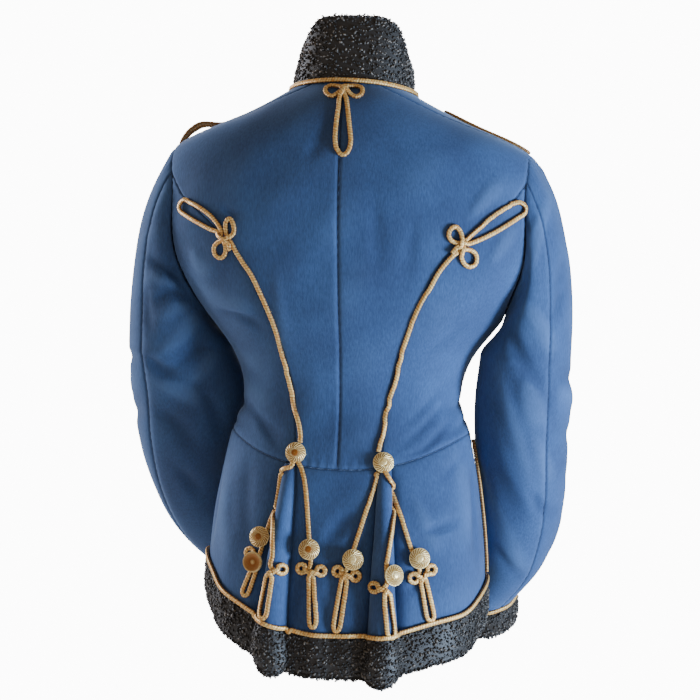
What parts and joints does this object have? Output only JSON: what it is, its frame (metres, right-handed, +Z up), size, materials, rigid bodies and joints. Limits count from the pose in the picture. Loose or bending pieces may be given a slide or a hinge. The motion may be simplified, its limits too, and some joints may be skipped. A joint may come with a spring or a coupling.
{
  "type": "hussar dolman",
  "caption": "Fitted hussar jacket filled out as if worn: blue wool body and sleeves, lambskin collar, cuffs and hem, gold cord loops and domed buttons.",
  "frame": {"origin": "middle of the neck opening, level with the neck seam at the centre back", "axes": "+Z up, +Y towards the garment's back, +X towards the wearer's left"},
  "size_m": [0.522, 0.3568, 0.7406],
  "materials": {
    "blue_cloth": "wool broadcloth, matt",
    "black_lambskin": "curly lambskin pile",
    "gold_cord": "wrapped metal-thread cord",
    "gilt_metal": "gilt, worn bright"
  },
  "bodies": {
    "root": {"back_left": "blue_cloth", "back_right": "blue_cloth", "side_back_left": "blue_cloth", "side_back_right": "blue_cloth", "front_left": "blue_cloth", "front_right": "blue_cloth", "skirt_back": "blue_cloth", "skirt_side_left": "blue_cloth", "skirt_side_right": "blue_cloth", "pleat_left": "blue_cloth", "pleat_right": "blue_cloth", "sleeve_top_left": "blue_cloth", "sleeve_top_right": "blue_cloth", "sleeve_under_left": "blue_cloth", "sleeve_under_right": "blue_cloth", "collar": "black_lambskin", "fur_hem_back": "black_lambskin", "fur_hem_left": "black_lambskin", "fur_hem_right": "black_lambskin", "fur_pleat_left": "black_lambskin", "fur_pleat_right": "black_lambskin", "cuff_left": "black_lambskin", "cuff_right": "black_lambskin", "cord_neck": "gold_cord", "cord_back_left": "gold_cord", "cord_back_right": "gold_cord", "cord_skirt_left_centre": "gold_cord", "cord_skirt_left_pleat": "gold_cord", "cord_skirt_left_side": "gold_cord", "cord_skirt_right_centre": "gold_cord", "cord_skirt_right_pleat": "gold_cord", "cord_skirt_right_side": "gold_cord", "cord_hem": "gold_cord", "cord_side_left": "gold_cord", "cord_side_right": "gold_cord", "cord_cuff_left": "gold_cord", "cord_cuff_right": "gold_cord", "cord_shoulder_left": "gold_cord", "cord_shoulder_right": "gold_cord", "cord_front_1": "gold_cord", "cord_front_2": "gold_cord", "cord_front_3": "gold_cord", "cord_front_4": "gold_cord", "cord_front_5": "gold_cord", "button_waist_left": "gilt_metal", "button_waist_right": "gilt_metal", "button_skirt_left_centre": "gilt_metal", "button_skirt_left_pleat": "gilt_metal", "button_skirt_left_side": "gilt_metal", "button_skirt_right_centre": "gilt_metal", "button_skirt_right_pleat": "gilt_metal", "button_skirt_right_side": "gilt_metal", "button_front_1": "gilt_metal", "button_front_2": "gilt_metal", "button_front_3": "gilt_metal", "button_front_4": "gilt_metal", "button_front_5": "gilt_metal"}
  },
  "joints": []
}
